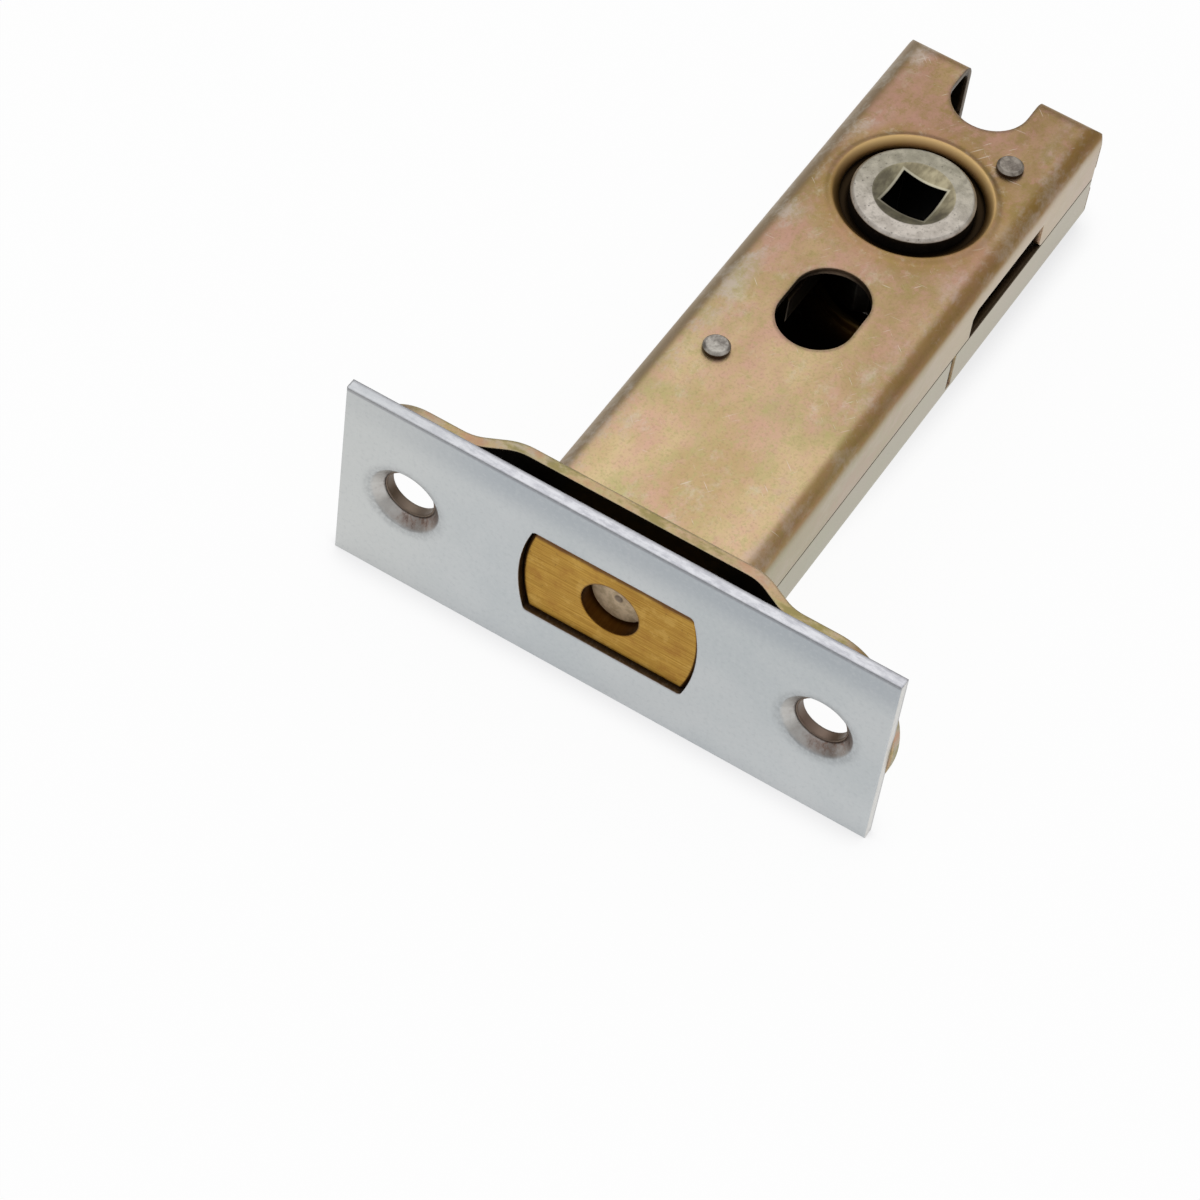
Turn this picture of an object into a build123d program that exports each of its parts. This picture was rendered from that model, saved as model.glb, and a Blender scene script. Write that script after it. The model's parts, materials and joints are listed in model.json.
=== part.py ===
from build123d import *
import os
from math import cos, pi, radians, sin, sqrt, tan

# Tubular mortice deadbolt with a 5 mm spindle, in millimetres.
# The origin is the centre of the face plate's front face. +X points out of the face, the way
# the bolt is thrown, +Y runs along the face plate, and +Z is the direction of the spindle.
# The bolt is modelled retracted, with the hub turned to its retracted stop.

# Face plate
plate_length = 62.4
plate_width = 25
plate_thickness = 1.3
plate_edge_radius = 0.2
screw_spacing = 47.4
screw_hole_radius = 2.75
countersink_radius = 4.2
countersink_rim = 0.45
countersink_rim_drop = 0.14

# Inner forend, a strip behind the face plate that steps back between its ends
forend_width = 24
forend_overhang = 0.3
forend_end_radius = 14.5
forend_shoulder_radius = 6
forend_thickness = 1.2
forend_setback = 2.2
forend_ramp = 4.2
forend_margin = 1.65
forend_bend_radius = 5.4

# Bolt head, its short sides bowed outwards
bolt_width = 18
bolt_bow = 1.1
bolt_height = 12.2
bolt_length = 25.8
bolt_recess = 0.6
bolt_edge = 0.35
bolt_corner_radius = 0.5
bolt_throw = 12
bolt_play = 0.25
bolt_side_play = 1
plate_bolt_gap = 0.1
forend_bolt_gap = 0.3
core_pin_radius = 3.3
core_pin_recess = 1.7
core_pin_edge = 0.3
centre_mark_radius = 0.45

# Case, two pressed shells that meet on the middle plane
backset = 60
case_past_hub = 21.6
sheet = 0.9
bend_radius = 2.4
rear_corner_cut = 0.8
seam_bevel = 0.1
flange_corner_height = 5.6
flange_corner_width = 2.2
corner_gap = 0.15
tab_height = 3
tab_stand = 0.6
tab_centre = 3.1
tab_gap = 0.1

# Openings in the case
fixing_hole_offset = 18.9
fixing_hole_length = 11.7
fixing_hole_width = 8.4
notch_offset = 17.3
notch_width = 8.8
window_ahead = 7.4
window_length = 15.4
window_height = 3.8
window_chamfer = 0.9
window_corner_radius = 1.2
slit_ahead = 11
slit_width = 1
slit_depth = 4.7

# Raised collars round the hub, each rolled in to a mouth above a ledge that holds the bearing
collar_mouth_radius = 7.75
collar_roll = 0.9
collar_slope = 0.75
collar_rise = 0.35
collar_depth = 1.5
collar_reach = 2.2
hub_fit = 0.05

# Through rivets: one behind the retracted bolt and one behind the hub, each off the middle
front_rivet_behind = 3.6
front_rivet_side = -6.2
rear_rivet_behind = 9.7
rear_rivet_side = 6.3
rivet_radius = 1.46
rivet_neck_radius = 1.1
rivet_stand = 0.8
rivet_edge = 0.3
rivet_fit = 0.05

# Hub
boss_ring_gap = 1.1
boss_stand = 0.7
boss_edge = 0.35
cam_radius = 7.3
core_radius = 5
hub_end_gap = 0.1
hub_turn = 90
arm_tip_radius = 1.1
arm_half_width = 0.9
spindle_size = 5.1
spindle_sink_radius = 4.35
spindle_sink_slope = 23

# Bolt tail, a fork that slides in the upper half of the case
tail_lift = 0.2
tail_thickness = 3.2
tail_side_gap = 0.2
tail_root_length = 7.9
tail_root_width = 16
tail_root_gap = 0.05
tail_pin_radius = 1.5
tail_pin_spacing = 10
level_gap = 0.3
passing_gap = 0.35
drive_gap = 0.45
fork_gap = 0.5
hub_passage = 9.5
lug_thickness = 1.75
lug_bite = 0.3

# Detent spring, a strip hooked in the slit of the lower shell
spring_thickness = 0.5
spring_height = 3
spring_lift = 1.4
spring_run = 3.8
spring_rise = 2
spring_leg = 2.8
spring_tail = 1.7
spring_tail_rise = 0.7
spring_bend_radius = 0.6
spring_hook_radius = 0.4
spring_hook_inset = 0.15
spring_tip_gap = 0.2
detent_depth = 0.9
detent_half_width = 1.6

# Places that follow from the sizes above
case_width = bolt_width + 2 * (bolt_bow + bolt_side_play + sheet)
case_thickness = bolt_height + 2 * (bolt_play + sheet)
forend_end = plate_length / 2 + forend_overhang
case_front = -(plate_thickness + forend_setback + forend_thickness)
case_rear = -(backset + case_past_hub)
case_length = case_front - case_rear
case_top = case_thickness / 2
case_side = case_width / 2
inner_top = case_top - sheet
inner_side = case_side - sheet
flange_foot = case_top - flange_corner_height
window_front = backset - window_ahead
window_rear = window_front + window_length
slit_front = backset - slit_ahead

bolt_front = -bolt_recess
bolt_rear = bolt_front - bolt_length
front_rivet_x = bolt_rear - front_rivet_behind
rear_rivet_x = -backset - rear_rivet_behind
tail_root_front = bolt_rear + tail_root_length
tail_pin_x = bolt_rear + tail_root_length / 2
tail_top = tail_lift + tail_thickness

collar_top = case_top + collar_rise
collar_ledge = collar_top - collar_depth
collar_crest_radius = collar_mouth_radius + collar_roll
collar_foot_radius = collar_crest_radius + collar_slope
boss_radius = collar_mouth_radius - boss_ring_gap
bearing_radius = boss_radius + hub_fit
hub_shoulder = case_top - collar_reach - hub_end_gap
boss_top = case_top + boss_stand
cam_top = tail_lift - level_gap
flange_base = tail_top + level_gap

half_turn = radians(hub_turn / 2)
arm_radius = bolt_throw / (2 * sin(half_turn))
drive_x = -backset - arm_radius * sin(half_turn)
drive_half_width = arm_tip_radius + drive_gap
drive_depth = arm_radius + arm_tip_radius + drive_gap
lug_edge = arm_radius * cos(half_turn) + lug_bite
tail_rear = drive_x - drive_half_width - lug_thickness
fork_half_width = fixing_hole_width / 2 + fork_gap
hub_fork_half_width = rear_rivet_side + rivet_radius + passing_gap
prong_side = inner_side - tail_side_gap

detent_floor = cam_radius - detent_depth
spring_floor = -spring_lift - spring_height
spring_hook_x = -slit_front - spring_thickness / 2
spring_wall_y = inner_side - spring_thickness / 2
spring_tip_y = detent_floor + spring_tip_gap + spring_thickness / 2
tab_side = case_side - sheet / 2

hub_section = Plane(origin=(-backset, 0, 0), x_dir=(1, 0, 0), z_dir=(0, -1, 0))
spindle_axis = Axis((-backset, 0, 0), (0, 0, 1))


def bowed_section(gap):
    """The bolt's section in the face plane, grown by a gap all round."""
    half_width = bolt_width / 2 + gap
    half_height = bolt_height / 2 + gap
    with BuildSketch() as section:
        with BuildLine():
            Line((-half_width, half_height), (half_width, half_height))
            ThreePointArc(
                (half_width, half_height), (half_width + bolt_bow, 0), (half_width, -half_height)
            )
            Line((half_width, -half_height), (-half_width, -half_height))
            ThreePointArc(
                (-half_width, -half_height), (-half_width - bolt_bow, 0), (-half_width, half_height)
            )
        make_face()
        fillet(section.vertices(), bolt_corner_radius + gap)
    return section.sketch


# Face plate
with BuildPart() as face_plate:
    with BuildSketch(Plane.YZ.offset(-plate_thickness)):
        Rectangle(plate_length, plate_width)
        add(bowed_section(plate_bolt_gap), mode=Mode.SUBTRACT)
    extrude(amount=plate_thickness)
    front_face = face_plate.faces().sort_by(Axis.X)[-1]
    fillet(front_face.outer_wire().edges(), plate_edge_radius)
    # Pressed countersinks, each with a soft rim
    with Locations(Plane.YZ):
        with GridLocations(screw_spacing, 0, 2, 1):
            CounterSinkHole(screw_hole_radius, countersink_radius, counter_sink_angle=90)
            Cone(
                countersink_radius - countersink_rim_drop, countersink_radius + countersink_rim,
                countersink_rim_drop,
                align=(Align.CENTER, Align.CENTER, Align.MAX), mode=Mode.SUBTRACT,
            )

# Inner forend
with BuildPart() as inner_forend:
    outer_x = -plate_thickness - forend_thickness / 2
    inner_x = outer_x - forend_setback
    ramp_foot = case_side + forend_margin
    ramp_head = ramp_foot + forend_ramp
    with BuildSketch(Plane.XY.offset(-forend_width / 2)):
        with BuildLine():
            FilletPolyline(
                (outer_x, -forend_end),
                (outer_x, -ramp_head),
                (inner_x, -ramp_foot),
                (inner_x, ramp_foot),
                (outer_x, ramp_head),
                (outer_x, forend_end),
                radius=forend_bend_radius,
            )
        trace(line_width=forend_thickness)
    extrude(amount=forend_width)
    # Round ends: the outline is kept, and all outside it is cut off
    half_width = forend_width / 2
    shoulder = forend_end - forend_end_radius + sqrt(forend_end_radius**2 - half_width**2)
    with BuildSketch(Plane.YZ) as forend_outline:
        with BuildLine():
            Line((-shoulder, half_width), (shoulder, half_width))
            ThreePointArc((shoulder, half_width), (forend_end, 0), (shoulder, -half_width))
            Line((shoulder, -half_width), (-shoulder, -half_width))
            ThreePointArc((-shoulder, -half_width), (-forend_end, 0), (-shoulder, half_width))
        make_face()
        fillet(forend_outline.vertices(), forend_shoulder_radius)
    extrude(amount=case_front, mode=Mode.INTERSECT)
    with BuildSketch(Plane.YZ):
        add(bowed_section(forend_bolt_gap))
        with GridLocations(screw_spacing, 0, 2, 1):
            Circle(screw_hole_radius)
        with GridLocations(case_width - sheet, 2 * tab_centre, 2, 2):
            Rectangle(sheet + 2 * tab_gap, tab_height + 2 * tab_gap)
    extrude(amount=case_front, mode=Mode.SUBTRACT)

# Blank from which both shells are pressed, drawn as the upper one
with BuildPart() as shell_blank:
    with BuildSketch(Plane.YZ.offset(case_rear)):
        Rectangle(case_width, case_top, align=(Align.CENTER, Align.MIN))
    extrude(amount=case_length)
    top_edges = shell_blank.faces().sort_by(Axis.Z)[-1].edges()
    rear_edge = top_edges.sort_by(Axis.X)[0]
    side_edges = top_edges.filter_by(Axis.X)
    fillet([rear_edge, *side_edges], bend_radius)
    open_faces = [
        shell_blank.faces().sort_by(Axis.Z)[0],
        shell_blank.faces().sort_by(Axis.X)[-1],
    ]
    offset(amount=-sheet, openings=open_faces)
    # The walls are bevelled outside where they meet the other shell
    seam_edges = shell_blank.edges().filter_by(Axis.X).group_by(Axis.Z)[0].sort_by(Axis.Y)
    chamfer([seam_edges[0], seam_edges[-1]], seam_bevel)
    # The end flange is bent down behind the side walls, its corners cut away at the seam
    with Locations((case_rear, 0, 0)):
        with GridLocations(0, case_width, 1, 2):
            Box(
                sheet + corner_gap, 2 * flange_corner_width, flange_foot,
                align=(Align.MIN, Align.CENTER, Align.MIN), mode=Mode.SUBTRACT,
            )
            # Each drawn corner is blunt, seen from above
            Box(
                rear_corner_cut * sqrt(2), rear_corner_cut * sqrt(2), case_thickness,
                rotation=(0, 0, 45), mode=Mode.SUBTRACT,
            )
    with Locations((case_rear + sheet, 0, flange_foot)):
        with GridLocations(0, case_width, 1, 2):
            Box(
                corner_gap, 2 * sheet, flange_corner_height - bend_radius,
                align=(Align.MIN, Align.CENTER, Align.MIN), mode=Mode.SUBTRACT,
            )
    # Fixing hole, rear notch, rivet holes and the opening that the collar fills
    with BuildSketch(Plane.XY):
        with Locations((-backset + fixing_hole_offset, 0)):
            SlotOverall(fixing_hole_length, fixing_hole_width)
        with Locations((-backset - notch_offset, 0)):
            Circle(notch_width / 2)
            Rectangle(case_past_hub, notch_width, align=(Align.MAX, Align.CENTER))
        with Locations((front_rivet_x, front_rivet_side), (rear_rivet_x, rear_rivet_side)):
            Circle(rivet_neck_radius + rivet_fit)
        with Locations((-backset, 0)):
            Circle(collar_foot_radius)
    extrude(amount=case_thickness, mode=Mode.SUBTRACT)
    # Collar: a raised ring, rolled in to its mouth, and the ledge that carries the bearing
    with BuildSketch(hub_section):
        with BuildLine():
            Polyline(
                (collar_crest_radius, collar_top),
                (collar_mouth_radius, collar_top - collar_roll),
                (collar_mouth_radius, collar_ledge),
                (bearing_radius, collar_ledge),
                (bearing_radius, case_top - collar_reach),
                (collar_mouth_radius + sheet, case_top - collar_reach),
                (collar_mouth_radius + sheet, inner_top),
                (collar_foot_radius, inner_top),
                (collar_foot_radius, case_top),
                close=True,
            )
        make_face()
    revolve(axis=spindle_axis)
    # Tabs staked through the forend
    with BuildSketch(Plane.YZ.offset(case_front)):
        with Locations((-tab_side, tab_centre), (tab_side, tab_centre)):
            Rectangle(sheet, tab_height)
    extrude(amount=forend_thickness + tab_stand)

# Upper shell: the blank with a window in its right wall, open down to the seam
with BuildPart() as case_upper_shell:
    add(shell_blank.part)
    with BuildSketch(Plane.XZ.offset(-case_side)):
        with BuildLine():
            corner = window_corner_radius
            corner_x = -window_rear - corner
            Polyline(
                (corner_x, 0),
                (-window_front, 0),
                (-window_front, window_height - window_chamfer),
                (-window_front - window_chamfer, window_height),
                (-window_rear, window_height),
                (-window_rear, corner),
            )
            ThreePointArc(
                (-window_rear, corner),
                (corner_x + corner * cos(pi / 4), corner - corner * sin(pi / 4)),
                (corner_x, 0),
            )
        make_face()
    extrude(amount=sheet, mode=Mode.SUBTRACT)

# Lower shell: the same blank turned over, with a slit in its right wall for the spring's hook
with BuildPart() as case_lower_shell:
    mirror(shell_blank.part, about=Plane.XY)
    with Locations((-slit_front, inner_side, 0)):
        Box(
            slit_width, sheet, slit_depth,
            align=(Align.MAX, Align.MIN, Align.MAX), mode=Mode.SUBTRACT,
        )

# Bolt head, with a bore for its core pin and a slot at the rear for the tail
with BuildPart() as bolt_head:
    with BuildSketch(Plane.YZ.offset(bolt_rear)):
        add(bowed_section(0))
    extrude(amount=bolt_length)
    chamfer(bolt_head.faces().sort_by(Axis.X)[-1].edges(), bolt_edge)
    with Locations(Plane.YZ.offset(bolt_front)):
        Hole(core_pin_radius)
    with BuildSketch(Plane.YZ.offset(bolt_rear)):
        with Locations((0, tail_lift - tail_root_gap)):
            Rectangle(
                2 * case_side, tail_thickness + 2 * tail_root_gap, align=(Align.CENTER, Align.MIN)
            )
    extrude(amount=tail_root_length, mode=Mode.SUBTRACT)
    with Locations(Plane.XY.offset(bolt_height / 2)):
        with Locations((tail_pin_x, 0)):
            with GridLocations(0, tail_pin_spacing, 1, 2):
                Hole(tail_pin_radius)

# Core pin, its turned face set back in the bolt
with BuildPart() as bolt_core_pin:
    with BuildSketch(Plane.YZ.offset(tail_root_front)):
        Circle(core_pin_radius)
    extrude(amount=bolt_front - core_pin_recess - tail_root_front)
    pin_face = bolt_core_pin.faces().sort_by(Axis.X)[-1]
    chamfer(pin_face.edges(), core_pin_edge)
    with Locations(Plane.YZ.offset(bolt_front - core_pin_recess)):
        Cone(
            0, centre_mark_radius, centre_mark_radius,
            align=(Align.CENTER, Align.CENTER, Align.MAX), mode=Mode.SUBTRACT,
        )

# Bolt tail: a root in the head's slot, a web, and two prongs that pass the holes and the hub
with BuildPart() as bolt_tail:
    with BuildSketch(Plane.XY.offset(tail_lift)):
        with Locations((bolt_rear, 0)):
            Rectangle(tail_root_length, tail_root_width, align=(Align.MIN, Align.CENTER))
            Rectangle(bolt_rear - tail_rear, 2 * prong_side, align=(Align.MAX, Align.CENTER))
        # Room for the screw in the fixing hole, from the retracted to the thrown place
        with Locations((-backset + fixing_hole_offset + fixing_hole_length / 2 + fork_gap, 0)):
            Rectangle(
                backset, 2 * fork_half_width, align=(Align.MAX, Align.CENTER), mode=Mode.SUBTRACT
            )
        # Room for the hub
        with Locations((-backset + hub_passage, 0)):
            Rectangle(
                backset, 2 * hub_fork_half_width, align=(Align.MAX, Align.CENTER),
                mode=Mode.SUBTRACT,
            )
        # Slot that slides past the front rivet
        with Locations((front_rivet_x - bolt_throw / 2, front_rivet_side)):
            SlotCenterToCenter(
                bolt_throw, 2 * (rivet_radius + passing_gap), mode=Mode.SUBTRACT
            )
        # Two lugs on the left prong, with the hub's arm between them
        with Locations((drive_x, -lug_edge)):
            Rectangle(
                2 * (drive_half_width + lug_thickness), prong_side - lug_edge,
                align=(Align.CENTER, Align.MAX),
            )
            Rectangle(
                2 * drive_half_width, drive_depth - lug_edge,
                align=(Align.CENTER, Align.MAX), mode=Mode.SUBTRACT,
            )
    extrude(amount=tail_thickness)
    with Locations(Plane.XY.offset(tail_top)):
        with Locations((tail_pin_x, 0)):
            with GridLocations(0, tail_pin_spacing, 1, 2):
                Hole(tail_pin_radius)

# Pins that hold the tail in the head
with BuildPart() as tail_pins:
    with BuildSketch(Plane.XY.offset(-bolt_height / 2)):
        with Locations((tail_pin_x, 0)):
            with GridLocations(0, tail_pin_spacing, 1, 2):
                Circle(tail_pin_radius)
    extrude(amount=bolt_height)

# Hub: a boss at each end, a notched cam below the tail and an arm in the tail's slot
with BuildPart() as hub:
    with BuildSketch(hub_section):
        with BuildLine():
            Polyline(
                (0, boss_top),
                (boss_radius, boss_top),
                (boss_radius, hub_shoulder),
                (cam_radius, hub_shoulder),
                (cam_radius, flange_base),
                (core_radius, flange_base),
                (core_radius, cam_top),
                (cam_radius, cam_top),
                (cam_radius, -hub_shoulder),
                (boss_radius, -hub_shoulder),
                (boss_radius, -boss_top),
                (0, -boss_top),
                close=True,
            )
        make_face()
    revolve(axis=spindle_axis)
    rims = hub.edges().filter_by(GeomType.CIRCLE).group_by(Axis.Z)
    chamfer([*rims[0], *rims[-1]], boss_edge)
    with BuildSketch(Plane.XY.offset(tail_lift)):
        with Locations(Location((-backset, 0, 0), (0, 0, 180 + hub_turn / 2))):
            Rectangle(arm_radius, 2 * arm_half_width, align=(Align.MIN, Align.CENTER))
        with Locations((drive_x, -arm_radius * cos(half_turn))):
            Circle(arm_tip_radius)
    extrude(amount=tail_thickness)
    # Detent notches, one under the spring's tip at each stop
    with BuildSketch(Plane.XY.offset(cam_top)):
        for angle in (90, 90 - hub_turn):
            with Locations(Location((-backset, 0, 0), (0, 0, angle))):
                Polygon(
                    (detent_floor, 0),
                    (cam_radius, detent_half_width),
                    (cam_radius + detent_depth, 2 * detent_half_width),
                    (cam_radius + detent_depth, -2 * detent_half_width),
                    (cam_radius, -detent_half_width),
                    align=None,
                )
    extrude(amount=-(cam_top + hub_shoulder), mode=Mode.SUBTRACT)
    # Square spindle hole, with a conical sink in each boss that cuts scallops in its walls
    with BuildSketch(Plane.XY.offset(-boss_top)):
        with Locations((-backset, 0)):
            Rectangle(spindle_size, spindle_size)
    extrude(amount=2 * boss_top, mode=Mode.SUBTRACT)
    for side in (-1, 1):
        with Locations(Plane(origin=(-backset, 0, side * boss_top), z_dir=(0, 0, side))):
            Cone(
                0, spindle_sink_radius, spindle_sink_radius * tan(radians(spindle_sink_slope)),
                align=(Align.CENTER, Align.CENTER, Align.MAX), mode=Mode.SUBTRACT,
            )

# Detent spring: a hook in the slit, a back along the wall and a V tip on the hub's cam
with BuildPart() as detent_spring:
    with BuildSketch(Plane.XY.offset(spring_floor)):
        with BuildLine():
            FilletPolyline(
                (spring_hook_x, case_side - spring_hook_inset),
                (spring_hook_x, spring_wall_y),
                (spring_hook_x - spring_run, spring_wall_y),
                (-backset + spring_leg, spring_tip_y + spring_rise),
                (-backset, spring_tip_y),
                (-backset - spring_leg, spring_tip_y + spring_rise),
                (-backset - spring_leg - spring_tail, spring_tip_y + spring_rise + spring_tail_rise),
                radius=(
                    spring_hook_radius,
                    spring_bend_radius,
                    spring_bend_radius,
                    spring_bend_radius,
                    spring_bend_radius,
                ),
            )
        trace(line_width=spring_thickness)
    extrude(amount=spring_height)

pieces = {
    "face_plate": face_plate,
    "inner_forend": inner_forend,
    "case_upper_shell": case_upper_shell,
    "case_lower_shell": case_lower_shell,
    "bolt_head": bolt_head,
    "bolt_core_pin": bolt_core_pin,
    "bolt_tail": bolt_tail,
    "tail_pins": tail_pins,
    "hub": hub,
    "detent_spring": detent_spring,
}

# Through rivets, thicker between the shells than in their holes
rivet_places = {
    "front_rivet": (front_rivet_x, front_rivet_side),
    "rear_rivet": (rear_rivet_x, rear_rivet_side),
}
for label, (rivet_x, rivet_y) in rivet_places.items():
    with BuildPart() as rivet:
        for start, radius, length in (
            (-case_top - rivet_stand, rivet_radius, rivet_stand),
            (-case_top, rivet_neck_radius, case_thickness),
            (-inner_top, rivet_radius, 2 * inner_top),
            (case_top, rivet_radius, rivet_stand),
        ):
            with BuildSketch(Plane.XY.offset(start)):
                with Locations((rivet_x, rivet_y)):
                    Circle(radius)
            extrude(amount=length)
        rims = rivet.edges().filter_by(GeomType.CIRCLE).group_by(Axis.Z)
        chamfer([*rims[0], *rims[-1]], rivet_edge)
    pieces[label] = rivet

os.makedirs("parts", exist_ok=True)
for label, piece in pieces.items():
    piece.part.label = label
    export_step(piece.part, f"parts/{label}.step")
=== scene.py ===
# %% [markdown]
# A tubular mortice deadbolt, dressed for the camera. Its twelve pieces are solid metal, and the
# CAD frame already gives each one its true shape and place. So this lesson is about light and
# metal: satin plating, yellow-passivated zinc, brushed brass, plain steel and a cast hub.

# %% Load the frame
import json
import math

import bpy
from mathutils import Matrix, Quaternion, Vector


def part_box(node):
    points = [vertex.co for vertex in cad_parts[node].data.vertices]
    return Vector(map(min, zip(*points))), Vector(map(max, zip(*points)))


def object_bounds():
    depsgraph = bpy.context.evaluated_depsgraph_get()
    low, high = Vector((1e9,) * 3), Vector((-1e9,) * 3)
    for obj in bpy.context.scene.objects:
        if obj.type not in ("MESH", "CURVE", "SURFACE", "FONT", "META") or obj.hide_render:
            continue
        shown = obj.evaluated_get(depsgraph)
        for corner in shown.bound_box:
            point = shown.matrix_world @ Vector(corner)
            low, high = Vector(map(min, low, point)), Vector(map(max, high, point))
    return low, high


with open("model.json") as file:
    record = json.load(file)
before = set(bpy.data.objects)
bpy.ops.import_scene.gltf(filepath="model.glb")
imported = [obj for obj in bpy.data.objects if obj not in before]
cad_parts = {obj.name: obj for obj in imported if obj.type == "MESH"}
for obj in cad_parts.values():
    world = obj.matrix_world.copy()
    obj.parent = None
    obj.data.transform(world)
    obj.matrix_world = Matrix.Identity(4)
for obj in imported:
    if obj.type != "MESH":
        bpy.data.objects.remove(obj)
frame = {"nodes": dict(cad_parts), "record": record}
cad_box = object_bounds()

mm = 0.001
nodes = frame["nodes"]
print("pieces in the frame:", ", ".join(sorted(nodes)))
for corner, name in zip(cad_box, ("lowest", "highest")):
    print(name, "corner in mm:", [round(value / mm, 1) for value in corner])

# %% [markdown]
# The camera looks down at the case from above its right front corner. A short lens would make the
# face plate huge beside the hub, and the photograph has almost parallel edges. So the lens is long
# and the camera stands 43 cm away. It aims close to the middle of the face plate, and it leans a
# little.

# %% Camera
camera_place = Vector((238.27, 107.52, 339.31)) * mm
camera_aim = Vector((-1.11, -1.43, 0)) * mm
camera_lean = math.radians(8.9)
camera_lens = 131.6
nearest_seen = 0.01

camera_data = bpy.data.cameras.new("camera")
camera_data.lens = camera_lens
camera_data.clip_start = nearest_seen
camera = bpy.data.objects.new("camera", camera_data)
camera.rotation_mode = "QUATERNION"
camera.location = camera_place
level_look = (camera_aim - camera_place).to_track_quat("-Z", "Y")
camera.rotation_quaternion = level_look @ Quaternion((0, 0, 1), camera_lean)
bpy.context.scene.collection.objects.link(camera)
bpy.context.scene.camera = camera
bpy.context.scene.view_settings.view_transform = "Standard"
print("camera distance in mm:", round((camera_aim - camera_place).length / mm))

# %% [markdown]
# Every finish below is a small network of nodes. Wiring nodes by hand is slow to read, so a
# socket is wrapped in a class whose operators add Math nodes. Then 1 - mask or ripple * 0.3 is
# written as plain arithmetic, and above and below take the larger and the smaller of two values.

# %% Shader maths
class Value:
    """One output socket that takes part in arithmetic."""

    def __init__(self, recipe, socket):
        self.recipe = recipe
        self.socket = socket

    def other(self, name):
        """Another output of the same node."""
        return Value(self.recipe, self.socket.node.outputs[name])

    def maths(self, operation, first, second):
        return self.recipe.node("ShaderNodeMath", {"operation": operation}, {0: first, 1: second})

    def __add__(self, value):
        return self.maths("ADD", self, value)

    def __sub__(self, value):
        return self.maths("SUBTRACT", self, value)

    def __rsub__(self, value):
        return self.maths("SUBTRACT", value, self)

    def __mul__(self, value):
        return self.maths("MULTIPLY", self, value)

    def __pow__(self, value):
        return self.maths("POWER", self, value)

    __radd__ = __add__
    __rmul__ = __mul__

    def above(self, value):
        return self.maths("MAXIMUM", self, value)

    def below(self, value):
        return self.maths("MINIMUM", self, value)

    def size(self):
        return self.maths("ABSOLUTE", self, 0)


print("beside its operators, a value has", [name for name in vars(Value) if "__" not in name])

# %% [markdown]
# A recipe is one network of nodes. Any node comes from one method, which sets the node's settings
# first, because they decide which sockets it has, and fills or links its sockets after them. Most
# masks here are smooth ramps, since a hard step would show as a jagged line.

# %% Nodes, blends and ramps
class Recipe:
    """The nodes of one finish, of the sky or of the floor."""

    def __init__(self, tree):
        self.tree = tree
        tree.nodes.clear()

    def node(self, kind, settings=None, sockets=None, out=0):
        """A new node, as the value of one of its outputs."""
        made = self.tree.nodes.new(kind)
        for name, setting in (settings or {}).items():
            setattr(made, name, setting)
        for name, value in (sockets or {}).items():
            if isinstance(value, Value):
                self.tree.links.new(value.socket, made.inputs[name])
            else:
                made.inputs[name].default_value = value
        return Value(self, made.outputs[out] if made.outputs else None)

    def blend(self, share, first, second):
        """A colour between two, by a share from 0 to 1."""
        # A Mix node has sockets for every kind of data: its colours go in at 6 and 7, out at 2.
        colours = {0: share, 6: first, 7: second}
        return self.node("ShaderNodeMix", {"data_type": "RGBA"}, colours, out=2)

    def ramp(self, value, low, high):
        """0 at low, 1 at high, and smooth between them."""
        limits = {"Value": value, "From Min": low, "From Max": high}
        return self.node("ShaderNodeMapRange", {"interpolation_type": "SMOOTHSTEP"}, limits)

    def under(self, value, limit, softness=0.05):
        """1 where a value is under its limit, 0 where it is over it."""
        return 1 - self.ramp(value, limit, limit + softness)


print("a recipe has", [name for name in vars(Recipe) if "__" not in name])

# %% [markdown]
# A colour is easiest to judge as it shows on a screen, from 0 to 255. A shader works in linear
# light, where the same grey is a much smaller number. So each colour below is written as it
# shows, and one function turns it into the shader's values.

# %% Paint
def paint(red, green, blue):
    """A colour as it shows on a screen, in the shader's linear values."""
    def linear(value):
        share = value / 255
        return share / 12.92 if share <= 0.04045 else ((share + 0.055) / 1.055) ** 2.4

    return (linear(red), linear(green), linear(blue), 1)


print("a mid grey of 128 is", round(paint(128, 128, 128)[0], 3), "in linear light")

# %% [markdown]
# Metal shows what stands round it, so the surroundings matter as much as the finish. A product
# table has a white ground, a wide soft light overhead and a dimmer room beyond its edges. The
# room is what draws the dark line along each bend, so the sky here fades from a dim horizon to a
# bright top. It looks the same to the camera and to the metal.

# %% Sky
horizon_light = (0.36, 0.35, 0.34, 1)
overhead_light = (0.84, 0.84, 0.85, 1)
dim_below = 0.14
bright_above = 0.7

sky = bpy.data.worlds.new("sky")
bpy.context.scene.world = sky
sky.use_nodes = True
room = Recipe(sky.node_tree)
direction = room.node("ShaderNodeTexCoord", out="Generated")
height = room.node("ShaderNodeSeparateXYZ", sockets={"Vector": direction}, out="Z")
overhead = room.ramp(height, dim_below, bright_above)
room_light = room.blend(overhead, horizon_light, overhead_light)
backdrop = room.node("ShaderNodeBackground", sockets={"Color": room_light, "Strength": 1.0})
room.node("ShaderNodeOutputWorld", sockets={"Surface": backdrop})
print("sky nodes:", len(sky.node_tree.nodes))

# %% [markdown]
# The deadbolt lies on the lower edge of its face plate and on the head of its rear rivet. A level
# floor would leave the case floating, so the floor tilts to touch both. It is one square, large
# enough to fill the view from every side.

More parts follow.
